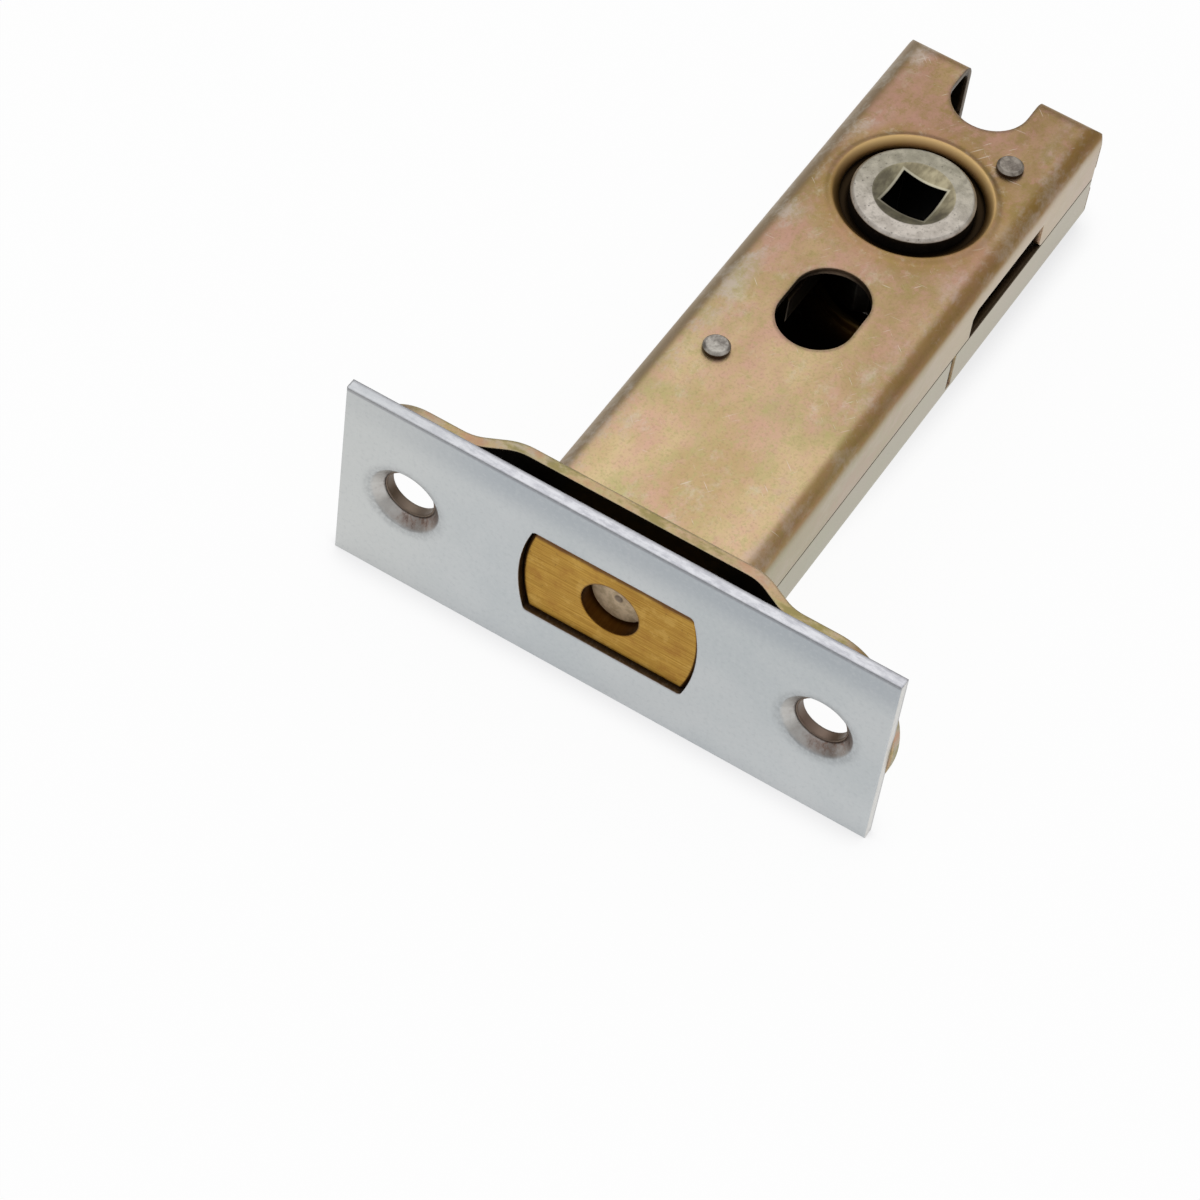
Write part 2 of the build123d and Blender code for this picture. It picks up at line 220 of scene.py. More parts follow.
# %% Floor
floor_reach = 3
plate_low, plate_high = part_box("face_plate")
rivet_low, rivet_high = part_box("rear_rivet")
plate_foot = Vector((plate_high.x, 0, plate_low.z))
rivet_foot = Vector(((rivet_low.x + rivet_high.x) / 2, 0, rivet_low.z))
floor_slope = (rivet_foot.z - plate_foot.z) / (rivet_foot.x - plate_foot.x)


def on_floor(x, y):
    """The point of the tilted floor over x and y."""
    return (x, y, plate_foot.z + floor_slope * (x - plate_foot.x))


sides = [(-1, -1), (1, -1), (1, 1), (-1, 1)]
corners = [on_floor(floor_reach * x, floor_reach * y) for x, y in sides]
floor_mesh = bpy.data.meshes.new("floor")
floor_mesh.from_pydata(corners, [], [(0, 1, 2, 3)])
floor = bpy.data.objects.new("floor", floor_mesh)
bpy.context.scene.collection.objects.link(floor)
print("floor slope in degrees:", round(math.degrees(math.atan(floor_slope)), 2))

# %% [markdown]
# A matt floor alone would be as uneven as the light on it. To the camera and to the metal this
# one is mostly its own white, with enough plain matt white in it to keep the shadow. Where the
# lock stands close over it, an Ambient Occlusion node greys the white, as a contact shadow does.

# %% White of the floor
own_white = 0.95
shade_reach = 4 * mm
shade_rays = 8
matt_white = (0.9, 0.9, 0.9, 1)
open_white = (1, 1, 1, 1)
shaded_white = (0.8, 0.8, 0.81, 1)

floor_white = bpy.data.materials.new("floor_white")
floor_white.use_nodes = True
ground = Recipe(floor_white.node_tree)
matt = ground.node("ShaderNodeBsdfDiffuse", sockets={"Color": matt_white})
reach = {"Distance": shade_reach}
open_sky = ground.node("ShaderNodeAmbientOcclusion", {"samples": shade_rays}, reach, out="AO")
white = ground.blend(ground.ramp(open_sky, 0.3, 0.95), shaded_white, open_white)
glow = ground.node("ShaderNodeEmission", sockets={"Color": white, "Strength": 1.0})
ray = ground.node("ShaderNodeLightPath", out="Is Camera Ray")
clear_ray = ray.above(ray.other("Is Glossy Ray")).above(ray.other("Is Transmission Ray"))
surface = ground.node("ShaderNodeMixShader", sockets={0: clear_ray * own_white, 1: matt, 2: glow})
ground.node("ShaderNodeOutputMaterial", sockets={"Surface": surface})
floor.data.materials.append(floor_white)
print("floor nodes:", len(floor_white.node_tree.nodes))

# %% [markdown]
# One wide lamp overhead gives the light a direction. A small lamp would print a hard shadow and a
# hot spot on every bend, so this one is nearly as wide as it is far. Its light comes on top of
# the sky's, and the two are set so that each colour below shows about as it is written.

# %% Lamp
lamp_width = 0.5
lamp_brightness = 0.5
lamp_place = Vector((-0.25, -0.18, 0.55))
lamp_aim = Vector((-35, 0, 0)) * mm

lamp_data = bpy.data.lights.new("overhead", "AREA")
lamp_data.shape = "SQUARE"
lamp_data.size = lamp_width
lamp_data.energy = lamp_brightness * math.pi * lamp_width**2
lamp = bpy.data.objects.new("overhead", lamp_data)
lamp.location = lamp_place
lamp.rotation_mode = "QUATERNION"
lamp.rotation_quaternion = (lamp_aim - lamp_place).to_track_quat("-Z", "Y")
bpy.context.scene.collection.objects.link(lamp)
print("lamp distance in mm:", round((lamp_aim - lamp_place).length / mm))

# %% [markdown]
# A finish starts with where a point is on its piece, in millimetres, so that every scale below is
# a real one, and with the way its face looks. Machined and pressed edges are never quite sharp: a
# Bevel node rounds them in the light, and where it bends the normal it also tells which points
# lie on an edge.

# %% Where a point is
bevel_rays = 6
edge_begins = 0.005
edge_full = 0.12


class Surface(Recipe):
    """The place, the facing and the edges of a piece, in a material of its own."""

    def __init__(self, name, edge_radius):
        self.material = bpy.data.materials.new(name)
        self.material.use_nodes = True
        super().__init__(self.material.node_tree)
        own_place = self.node("ShaderNodeTexCoord", out="Object")
        self.place = self.vector("MULTIPLY", own_place, (1 / mm, 1 / mm, 1 / mm))
        self.x = self.node("ShaderNodeSeparateXYZ", sockets={"Vector": self.place})
        self.y = self.x.other("Y")
        self.z = self.x.other("Z")
        own_normal = self.node("ShaderNodeTexCoord", out="Normal")
        self.facing_x = self.node("ShaderNodeSeparateXYZ", sockets={"Vector": own_normal})
        self.facing_y = self.facing_x.other("Y")
        self.facing_z = self.facing_x.other("Z")
        radius = {"Radius": edge_radius * mm}
        self.soft_normal = self.node("ShaderNodeBevel", {"samples": bevel_rays}, radius)
        sharp = self.node("ShaderNodeNewGeometry", out="Normal")
        alike = self.vector("DOT_PRODUCT", self.soft_normal, sharp, out="Value")
        self.edge = self.ramp(1 - alike, edge_begins, edge_full)

    def vector(self, operation, first, second, out=0):
        """Vector maths on two vectors."""
        settings = {"operation": operation}
        return self.node("ShaderNodeVectorMath", settings, {0: first, 1: second}, out)


bends = [round(math.degrees(math.acos(1 - value))) for value in (edge_begins, edge_full)]
print("an edge shows from a bend of", bends[0], "degrees, and in full at", bends[1])

# %% [markdown]
# Plate, film and casting all vary without a repeat, which an image would show sooner or later.
# Noise never repeats, and its fourth number serves as a seed: each seed cuts another slice of the
# same pattern. A finish is a first tone with coats of colour laid over it, one by one, and a
# single Principled shader ends it.

# %% Coats of a finish
class Finish(Surface):
    """A metal finish: a tone under coats of colour, and the shader."""

    def noise(self, per_mm, detail=3, seed=0, rough=0.55, place=None):
        """Cloudy values about 0.5, with so many clouds in a millimetre along each axis."""
        factors = per_mm if isinstance(per_mm, tuple) else (per_mm, per_mm, per_mm)
        scaled = self.vector("MULTIPLY", place or self.place, factors)
        sockets = {"Vector": scaled, "W": seed, "Scale": 1, "Detail": detail, "Roughness": rough}
        return self.node("ShaderNodeTexNoise", {"noise_dimensions": "4D"}, sockets)

    def lay(self, share, colour):
        """Lays a colour over the tone so far."""
        self.tone = self.blend(share, self.tone, colour)

    def metal(self, roughness, bump, bump_depth, metallic=1.0):
        """Ends the finish with its shader. Bump depth is in millimetres."""
        relief = {"Height": bump, "Distance": bump_depth * mm, "Strength": 1.0}
        normal = self.node("ShaderNodeBump", sockets={**relief, "Normal": self.soft_normal})
        look = {"Base Color": self.tone, "Roughness": roughness, "Metallic": metallic}
        shader = self.node("ShaderNodeBsdfPrincipled", sockets={**look, "Normal": normal})
        self.node("ShaderNodeOutputMaterial", sockets={"Surface": shader})
        print(self.material.name, "has", len(self.tree.nodes), "nodes")
        return self.material


print("a finish has", [name for name in vars(Finish) if "__" not in name])

# %% [markdown]
# Some places lie in deep shade: the gap at the back of the face plate, the inside of the case and
# the ring round the hub. Each finish paints that shade into its colour, nearly black, by where
# they are, so the places are measured on the frame once, here.

# %% Places on the lock
mounts = {mount["name"]: mount for mount in frame["record"]["mounts"]}
screw_side = mounts["face_screws"]["dims"]["spacing_x_mm"] / 2
screw_radius = mounts["face_screws"]["dims"]["hole_r_mm"]
hub_x = mounts["spindle_hole"]["pos_m"][0] / mm
boss_top = mounts["spindle_hole"]["pos_m"][2] / mm
case_top = mounts["through_fixings"]["pos_m"][2] / mm
shell_low, shell_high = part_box("case_upper_shell")
case_rear = shell_low.x / mm
case_side = shell_high.y / mm
plate_top = plate_high.z / mm
plate_depth = (plate_high.x - plate_low.x) / mm
bolt_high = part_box("bolt_head")[1]
bolt_side = bolt_high.y / mm
bolt_top = bolt_high.z / mm
pin_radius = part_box("bolt_core_pin")[1].y / mm
print("hub at x", hub_x, "case side", round(case_side, 2), "case top", case_top)

# %% [markdown]
# The face plate is satin chrome: almost white, a little blue, with a grain too fine to see as
# lines. What the eye reads is slow cloudiness, a greyer band of painted shade under the top
# edge and a paler left end. A single grey would look like plastic, so the tone follows a noise
# some 14 mm wide.

# %% Satin chrome
clouds_per_mm = 0.07
band_height = 4
left_begins = 12
left_full = 30

chrome = Finish("satin_chrome", edge_radius=0.3)
cloud = chrome.noise(clouds_per_mm, seed=3)
grain = chrome.noise((9, 1.6, 9), detail=2, seed=5)
cloudy = chrome.ramp(cloud, 0.3, 0.7)
chrome.tone = chrome.blend(cloudy, paint(188, 193, 195), paint(201, 204, 205))
# painted shade: a greyer band under the top edge of the plate
shaded_top_band = chrome.ramp(chrome.z + 3 * cloud, plate_top - band_height, plate_top)
chrome.lay(shaded_top_band * 0.5, paint(156, 163, 171))
far_left = chrome.ramp(0 - chrome.y, left_begins, left_full)
chrome.lay(far_left * 0.6, paint(206, 207, 204))
print("clouds on the plate in mm:", round(1 / clouds_per_mm, 1))

# %% [markdown]
# The plate's narrow sides have a coarser grain, and painted light makes them brighter than its
# front. The right end gets a pale, warm painted highlight, and a grey line of painted shade
# follows the back of each side. Just under the top edge the front has a darker line of painted
# shade too. The plate is one solid, so its sides are found by the way they face.

# %% Sides of the plate
back_line = 0.4
top_line = 0.5
line_fade = 0.2

# painted light: the narrow sides are brighter than the front, over their coarser grain
rim_face = chrome.ramp(chrome.facing_z.size().above(chrome.facing_y.size()), 0.6, 0.9)
rim_grain = chrome.noise((1.6, 0.5, 1.6), detail=4, seed=15, rough=0.7)
rim_share = chrome.ramp(rim_grain, 0.36, 0.6)
rim_grain_and_light = chrome.blend(rim_share, paint(188, 188, 194), paint(219, 219, 223))
rim_grain_and_light = chrome.blend(far_left * 0.75, rim_grain_and_light, paint(192, 195, 197))
chrome.lay(rim_face * 0.9, rim_grain_and_light)
# painted highlight, pale and warm, on the plate's right end
right_end_highlight = chrome.ramp(chrome.facing_y, 0.6, 0.9)
chrome.lay(right_end_highlight * 0.8, paint(219, 217, 211))
# painted shade: a grey line along the back of each side
back_begins = plate_depth - back_line
back_edge_shade = chrome.ramp(0 - chrome.x, back_begins, back_begins + line_fade) * rim_face
chrome.lay(back_edge_shade * 0.5, paint(150, 149, 154))
# painted shade: a darker line on the front just under the top edge
top_begins = plate_top - top_line
under_edge_shade = chrome.ramp(chrome.z, top_begins, top_begins + line_fade) * (1 - rim_face)
chrome.lay(under_edge_shade * 0.5, paint(122, 120, 126))
print("plate thickness in mm:", round(plate_depth, 2))

# %% [markdown]
# The plate's sharp edges are pale from wear and painted highlight, but not the soft rims of its
# pressed countersinks, which have a faint grey halo of painted shade. Inside, painted light makes
# the left and upper side pale, and painted shade darkens the low right. A mask by the distance
# from the nearer screw's axis draws both holes at once.

# %% Countersinks
def distance(first, second):
    """How far a point is from an axis, by its offsets in the two directions across it."""
    return (first * first + second * second) ** 0.5


sunk_radius = 4.2
soft_rim = 0.6
halo_width = 1.2

hole_distance = distance(chrome.y.size() - screw_side, chrome.z)
sunk = chrome.ramp(0 - chrome.x, 0.1, 0.4)
# wear and painted highlight: the plate's sharp edges are pale
wear_and_highlight = chrome.edge * (1 - chrome.under(hole_distance, sunk_radius + soft_rim)) * 0.35
chrome.lay(wear_and_highlight, paint(222, 223, 226))
streak = chrome.noise((0.5, 1.7, 1.7), detail=4, seed=11, rough=0.65)
uneven = 0.5 + 0.8 * chrome.ramp(streak, 0.4, 0.6)
# painted shade: a faint grey halo round each countersink
halo = chrome.under(hole_distance, sunk_radius - 0.1, halo_width) * uneven
chrome.lay(halo * 0.3, paint(128, 130, 132))
# painted light on the upper left of each countersink and painted shade on its low right
own_screw = screw_side * (2 * chrome.ramp(chrome.y, -1, 1) - 1)
low_right = chrome.ramp(chrome.y - own_screw - chrome.z, 0.5, 4.5)
hollow_light_and_shade = chrome.blend(low_right, paint(204, 201, 196), paint(152, 142, 134))
hollow = sunk * chrome.under(hole_distance, sunk_radius)
chrome.lay(hollow * 0.75, hollow_light_and_shade)
print("screws at y", screw_side, "and", -screw_side, "with holes of radius", screw_radius)

# %% [markdown]
# Towards each hole the plating is thin, and a warm brown shows through. Painted shade is mixed
# into it, so it is strongest at the low right. It runs down the hole in streaks, so it takes the
# streaky noise that the halo has, once softly for brown and once sharply for a few darker spots.
# The hole's lip is brown all the way round.

# %% Stains in the countersinks
stain_reach = 0.3
stain_fade = 1.2
lip_reach = 0.12

near_hole = chrome.under(hole_distance, screw_radius + stain_reach, stain_fade)
# stain and painted shade together: the brown is weighted to the low right
brown = sunk * near_hole * (0.15 + 0.85 * low_right)
stain = chrome.ramp(streak, 0.44, 0.58)
chrome.lay(brown * (0.2 + 0.6 * stain), paint(142, 116, 103))
chrome.lay(brown * chrome.ramp(streak, 0.58, 0.64) * 0.7, paint(88, 68, 60))
lip = sunk * chrome.under(hole_distance, screw_radius + lip_reach, 0.15)
chrome.lay(lip * 0.6, paint(104, 86, 76))
print("stains end", stain_reach + stain_fade, "mm from the hole's wall")

# %% [markdown]
# The wall of the bolt's window gets a brown painted reflection of the brass in it, with painted
# shade. Over everything lie specks, and one noise gives all three kinds: its low values are grey,
# its higher ones pale, and only its highest peaks are dark. The finish goes into the slots of the
# CAD object, whose mesh is never changed.

# %% Window, specks and shader
def dress(material, *names):
    """Gives a CAD node's slots their finish."""
    for name in names:
        for slot in nodes[name].material_slots:
            slot.material = material


speck = chrome.noise(1.9, detail=4, seed=9, rough=0.7)
# painted reflection of the brass and painted shade on the wall of the bolt's window
window_y = chrome.under(chrome.y.size(), bolt_side + 0.2)
window_z = chrome.under(chrome.z.size(), bolt_top + 0.15)
window_shade_and_reflection = window_y * window_z * chrome.ramp(0 - chrome.x, 0.03, 0.1)
chrome.lay(window_shade_and_reflection * 0.9, paint(96, 76, 44))
chrome.lay(chrome.ramp(speck, 0.5, 0.64) * 0.2, paint(208, 210, 210))
chrome.lay(chrome.under(speck, 0.36, 0.12) * 0.2, paint(164, 169, 172))
chrome.lay(chrome.ramp(speck, 0.72, 0.78) * 0.5, paint(120, 122, 125))
plated = chrome.metal(0.34 + 0.12 * cloud, grain + 0.6 * cloud, bump_depth=0.004)
dress(plated, "face_plate")

# %% [markdown]
# The case, the forend strip and the bolt's tail are pressed steel with a yellow-passivated zinc
# coat. Three finishes share that film, so its patterns and places are in a class: a slow flame, a
# grain and a dust of noise, how near a point is to the browner rear end, which faces are side
# walls, and how far the hub's axis is.

# %% Patterns of the zinc
rear_begins = 10
rear_full = 68
collar_radius = 9.4
flames_per_mm = 0.06


class Zinc(Finish):
    """A yellow-passivated coat, with the patterns and places that its layers share."""

    def __init__(self, name, edge_radius):
        super().__init__(name, edge_radius)
        self.flame = self.noise((flames_per_mm, 0.1, 0.1), detail=5, seed=1, rough=0.6)
        self.grain = self.noise(0.9, detail=5, seed=37, rough=0.75)
        self.dust = self.noise(3.2, detail=3, seed=41, rough=0.7)
        self.rear = self.ramp(0 - self.x, rear_begins, rear_full)
        self.wall = self.ramp(self.facing_y.size(), 0.85, 0.98)
        self.hub_distance = distance(self.x - hub_x, self.y)
        self.off_collar = self.ramp(self.hub_distance, collar_radius, collar_radius + 0.2)

    def aged(self, front, rear):
        """A colour that changes from the front of the case to its rear."""
        return self.blend(self.rear, front, rear)


print("flames on the zinc in mm:", round(1 / flames_per_mm, 1))

# %% [markdown]
# The film is thin enough to shift colour, so gold runs into pink and olive in soft flames some
# millimetres wide. A single noise would look like camouflage. Three slow ones cross instead, one
# to a colour, then a pale haze goes over them, and a fine grain of the same pink and olive.

# %% Film of the zinc
def film(zinc):
    """Gold, pink and olive flames under a pale haze and a fine grain."""
    shade = zinc.aged(paint(192, 165, 122), paint(150, 122, 86))
    gold = zinc.aged(paint(216, 193, 150), paint(184, 155, 116))
    pink = zinc.aged(paint(214, 170, 154), paint(184, 142, 126))
    olive = zinc.aged(paint(184, 179, 122), paint(146, 128, 72))
    blush = zinc.noise((0.09, 0.15, 0.15), detail=6, seed=17, rough=0.66)
    moss = zinc.noise((0.1, 0.14, 0.14), detail=6, seed=29, rough=0.66)
    haze = zinc.noise((0.13, 0.2, 0.2), detail=6, seed=71, rough=0.72)
    zinc.tone = zinc.blend(zinc.ramp(zinc.flame, 0.35, 0.65), shade, gold)
    zinc.lay(zinc.ramp(blush, 0.45, 0.62) * (0.6 + 0.2 * zinc.rear), pink)
    zinc.lay(zinc.ramp(moss, 0.49, 0.64) * (0.55 + 0.15 * zinc.rear), olive)
    zinc.lay(zinc.ramp(haze, 0.54, 0.68) * (0.5 - 0.15 * zinc.rear), paint(210, 202, 182))
    zinc.lay(zinc.ramp(zinc.grain, 0.5, 0.62) * (0.35 + 0.2 * zinc.rear), pink)
    zinc.lay(zinc.under(zinc.grain, 0.38, 0.1) * 0.45, olive)
    zinc.lay(zinc.under(zinc.dust, 0.36, 0.14) * 0.22, paint(138, 114, 84))


print("layers of the film:", film.__doc__)

# %% [markdown]
# Along each bend the coat gets brown painted shade, greyer on the left bends. Side walls are
# greyish, and paler towards the rear. A bend faces partly up and partly out, so the smaller of the
# two is high only there. The hub's collar is kept out of it, because it gets tones of its own.

# %% Bends and walls of the zinc
def folds(zinc):
    """Brown painted shade on the bends, greyer on the left, and greyish side walls."""
    up = zinc.facing_z.size()
    out = zinc.facing_y.size().above(zinc.facing_x.size())
    # painted shade along the bends, greyer on the left ones
    bend_shade = zinc.ramp(up.below(out), 0.08, 0.45) * zinc.off_collar
    zinc.lay(bend_shade * 0.66, paint(138, 104, 46))
    left_bend_shade = bend_shade * zinc.ramp(0 - zinc.facing_y, 0.1, 0.5)
    zinc.lay(left_bend_shade * (0.35 + 0.6 * zinc.grain), paint(158, 142, 122))
    wall_tone = zinc.aged(paint(166, 162, 143), paint(204, 192, 172))
    zinc.lay(zinc.wall * (0.4 + 0.6 * zinc.flame), wall_tone)


print("tones over the film:", folds.__doc__)

# %% [markdown]
# Fine scratches cross the flat faces. Each could be a curve of its own, but they are too many and
# too small. Noise that is drawn out along one direction leaves lines where only its peaks are
# kept, and a slower noise wipes many of them out, so that they come in groups.

# %% Scratches
groups_per_mm = 0.16


def scratches(finish, angle, length, width, rarity, seed):
    """Fine scratches at one angle, with their length and width in millimetres."""
    sockets = {"Vector": finish.place, "Angle": math.radians(angle)}
    turned = finish.node("ShaderNodeVectorRotate", {"rotation_type": "Z_AXIS"}, sockets)
    line = finish.noise((1 / length, 1 / width, 0.3), detail=1, seed=seed, place=turned)
    group = finish.noise(groups_per_mm, detail=2, seed=seed + 1)
    return finish.ramp(line, rarity, rarity + 0.05) * finish.ramp(group, 0.46, 0.6)


print("groups of scratches in mm:", round(1 / groups_per_mm, 1))

# %% [markdown]
# The film is worn through to pale zinc in patches along the sides, more on the left, and on sharp
# edges. The scratches run three ways, because a lock is not handled in one direction. Wear and
# scratches change the gloss and the relief too, so both are worked out here with the colour.

# %% Wear of the zinc
wear_begins = 5
wear_full = 2.2


def scuffs(zinc):
    """Worn sides and edges, scratches, and the roughness and relief that go with them."""
    near_side = zinc.ramp(zinc.y.size(), case_side - wear_begins, case_side - wear_full)
    near_side = near_side * (1 - 0.55 * zinc.ramp(zinc.y, 0, 1))
    patches = zinc.noise((0.16, 0.3, 0.3), detail=5, seed=53, rough=0.7)
    grainy = 0.4 + 0.6 * zinc.ramp(zinc.grain, 0.4, 0.6)
    worn = near_side * zinc.ramp(patches, 0.47, 0.6) * grainy
    worn = worn.above(zinc.edge * zinc.ramp(zinc.dust, 0.35, 0.65) * zinc.off_collar * 0.4)
    zinc.lay(worn * 0.65, paint(208, 200, 188))
    one_way = scratches(zinc, angle=35, length=3, width=0.16, rarity=0.69, seed=3)
    crossing = scratches(zinc, angle=-48, length=2.4, width=0.14, rarity=0.7, seed=11)
    sideways = scratches(zinc, angle=84, length=3.4, width=0.16, rarity=0.71, seed=23)
    flat = zinc.ramp(zinc.facing_z.size(), 0.75, 0.95)
    scratch = one_way.above(crossing).above(sideways) * flat
    zinc.lay(scratch * 0.65, paint(224, 214, 198))
    zinc.rough = 0.36 + 0.12 * zinc.flame + 0.08 * zinc.grain + 0.08 * worn
    zinc.relief = zinc.dust * 0.7 + scratch * 0.5


print("wear reaches", wear_begins, "mm in from each side of the case")

# %% [markdown]
# Each zinc piece starts from the same film, folds and scuffs and then gets what is its own. Its
# relief is only a few thousandths of a millimetre, which is enough to break up the gloss.

# %% Zinc on a piece
film_relief = 0.006


def passivated(name, edge_radius):
    """A coat of zinc that is ready for a piece's own tones."""
    zinc = Zinc(name, edge_radius)
    film(zinc)
    folds(zinc)
    scuffs(zinc)
    return zinc


def dress_in_zinc(zinc, *names):
    """Ends a coat of zinc and puts it on its pieces."""
    dress(zinc.metal(zinc.rough, zinc.relief, film_relief), *names)


print("relief of the film in mm:", film_relief)

# %% [markdown]
# The two shells share one finish. The lower one's wall is greyer. The inside gets nearly black
# painted shade, the seam between the shells is a dark groove, and the faces that meet in it are
# brown. The masks are made of distances that were measured on the frame, so they keep to the
# shells.

# %% Case walls, inside and seam
sheet = 0.9
slack = 0.02
seam_half = 0.08

shell = passivated("case_zinc", edge_radius=0.7)
lower_wall = shell.ramp(0 - shell.z, 0, 0.1) * shell.wall
shell.lay(lower_wall * 0.5, paint(182, 184, 172))
rear_wall = case_rear + sheet
# painted shade, nearly black, over the inside of the case
inside_shade = shell.under(shell.y.size(), case_side - sheet + slack)
inside_shade = inside_shade * shell.under(shell.z.size(), case_top - sheet + slack)
inside_shade = inside_shade * shell.ramp(shell.x, rear_wall - 0.1, rear_wall - 0.05)
shell.lay(inside_shade * 0.95, paint(20, 17, 13))
outer_wall = shell.ramp(shell.y.size(), case_side - 0.3, case_side - 0.2)
seam = shell.under(shell.z.size(), seam_half, 0.06) * outer_wall
shell.lay(seam * 0.85, paint(48, 42, 34))
mating = shell.under(shell.z.size(), 0.15) * shell.ramp(shell.facing_z.size(), 0.8, 0.9)
shell.lay(mating * 0.9, paint(60, 50, 35))
print("inside of the case from x", round(rear_wall, 2))

# %% [markdown]
# A collar was drawn out of each shell for the hub to run in. The film is darker near it, and its
# rim is rubbed pale. Its rolled edge goes from brown painted shade in the mouth to a painted
# highlight on the lip, brightest at the rear. The roll leans between flat and upright, so its
# facing picks it out.

# %% Collar of the case
mouth_radius = 7.75
halo_fade = 3
rub_fade = 2.4

halo = shell.under(shell.hub_distance, collar_radius - 0.8, halo_fade) * 0.45
shell.lay(halo, paint(160, 126, 70))
rub = shell.noise(0.7, detail=5, seed=61, rough=0.75)
near_collar = shell.under(shell.hub_distance, collar_radius + 0.5, rub_fade)
rubbed = near_collar * shell.ramp(rub, 0.52, 0.68)
rubbed = rubbed * shell.ramp(shell.hub_distance, collar_radius - 0.9, collar_radius - 0.3)
shell.lay(rubbed * 0.4, paint(204, 190, 168))
# painted shade in the collar's mouth and a painted highlight on its lip, brightest at the rear
leaning = shell.ramp(shell.facing_z.size(), 0.97, 0.8)
roll = shell.under(shell.hub_distance, collar_radius - 0.7, 0.1) * leaning
up_the_roll = shell.ramp(shell.hub_distance, mouth_radius + 0.1, collar_radius - 0.8)
lip_highlight = shell.ramp(hub_x - shell.x, -5, 5)
lit_lip_tone = shell.blend(lip_highlight, paint(158, 124, 72), paint(222, 188, 130))
roll_light_and_shade = shell.blend(up_the_roll, paint(112, 80, 38), lit_lip_tone)
shell.lay(roll * 0.8, roll_light_and_shade)
print("collar from", mouth_radius, "to", collar_radius, "mm from the hub's axis")

# %% [markdown]
# Three shaded places are left: the brink of the top along its left side, the ring deep between
# the collar and the hub, and the walls of the fixing holes. They are laid last, over the film
# and its scuffs.

# %% Brink, ring and holes of the case
brink_begins = 4
brink_full = 0.8
ring_depth = 0.95
hole_side = 6

brink = shell.ramp(0 - shell.y, case_side - brink_begins, case_side - brink_full)
brink = brink * shell.ramp(shell.facing_z, 0.3, 0.6)
shell.lay(brink * 0.3, paint(150, 134, 104))
deep = shell.under(shell.z.size(), case_top - ring_depth, 0.4)
ring = shell.under(shell.hub_distance, mouth_radius + 0.04, 0.3) * deep
shell.lay(ring * 0.95, paint(34, 25, 16))
hole_wall_shade = shell.under(shell.facing_z.size(), 0.3) * shell.under(shell.y.size(), hole_side)
hole_wall_shade = hole_wall_shade * shell.ramp(shell.hub_distance, collar_radius, collar_radius + 0.1)
shell.lay(hole_wall_shade * 0.85, paint(74, 58, 40))
dress_in_zinc(shell, "case_upper_shell", "case_lower_shell")

# %% [markdown]
# The forend strip wears the same film. Its narrow edge shows stronger pink and olive, and its back
# only a little of them, because the same patches on a wide face would look like camouflage. The
# long edges are dull with a pale corner, the set-back middle of its front gets nearly black
# painted shade in the gap at the back of the plate, and the walls of its holes get dull brown
# painted shade.

# %% Forend
joggle_side = 19

strip = passivated("forend_zinc", edge_radius=0.35)
strip_film = strip.noise((0.3, 0.16, 0.3), detail=5, seed=67, rough=0.65)
film_share = strip.under(strip.facing_x.size(), 0.6, 0.3) * 0.8 + 0.2
strip_pink = strip.ramp(strip_film, 0.5, 0.62) * 0.7 * film_share
strip.lay(strip_pink, paint(198, 144, 116))
strip_olive = strip.under(strip_film, 0.42, 0.1) * 0.8 * film_share
strip.lay(strip_olive, paint(144, 134, 76))
strip_edge = strip.ramp(strip.facing_z.size(), 0.8, 0.9)
strip.lay(strip_edge * 0.3, paint(146, 134, 98))
strip.lay(strip_edge * strip.edge * 0.7, paint(206, 192, 158))
# painted shade, nearly black, on the set-back middle of the forend's front
gap_shade = strip.ramp(strip.facing_x, 0.25, 0.45) * strip.under(strip.y.size(), joggle_side, 0.6)
strip.lay(gap_shade * 0.95, paint(22, 19, 15))
# painted shade, dull brown, on the walls of the forend's holes
wall_distance = distance(strip.y.size() - screw_side, strip.z)
hole_wall_shade = strip.under(wall_distance, screw_radius + 0.25, 0.2)
strip.lay(hole_wall_shade * 0.92, paint(118, 104, 95))
dress_in_zinc(strip, "inner_forend")

# %% [markdown]
# The tail works inside the case, in shade, so one even coat of dark brown painted shade goes over
# the film. That is enough for a piece that only shows deep in the holes.

# %% Tail
tail = passivated("tail_zinc", edge_radius=0.35)
# painted shade, dark brown, over the whole tail
tail.lay(0.88, paint(56, 46, 32))
dress_in_zinc(tail, "bolt_tail")

# %% [markdown]
# The bolt is brass, finished on a belt: straight lines run across its face. Drawing each line
# would be wasteful, so noise is squeezed hard one way and left long the other. The long sides
# are drawn lengthways, and the piece tells its faces apart by its own normal. Tarnish is a
# second, rounder noise, with a few dark specks.

# %% Brushed brass
brass = Finish("bolt_brass", edge_radius=0.35)
face_lines = brass.noise((7, 0.16, 7), detail=4, seed=2, rough=0.6)
side_lines = brass.noise((0.12, 6, 6), detail=4, seed=4, rough=0.6)
front = brass.ramp(brass.facing_x.size(), 0.6, 0.9)
lines = face_lines * front + side_lines * (1 - front)
tarnish = brass.noise(0.45, detail=5, seed=8, rough=0.65)
brass_speck = brass.noise(1.9, detail=4, seed=15, rough=0.75)
brass.tone = brass.blend(brass.ramp(lines, 0.3, 0.7), paint(154, 112, 36), paint(194, 152, 66))
brass.lay(brass.ramp(tarnish, 0.5, 0.68) * 0.5, paint(152, 100, 36))
brass.lay(brass.under(tarnish, 0.36, 0.12) * 0.4, paint(206, 168, 88))
brass.lay(brass.ramp(brass_speck, 0.63, 0.68) * 0.65, paint(92, 60, 24))
print("face of the bolt in mm:", round(2 * bolt_side, 1), "by", round(2 * bolt_top, 1))

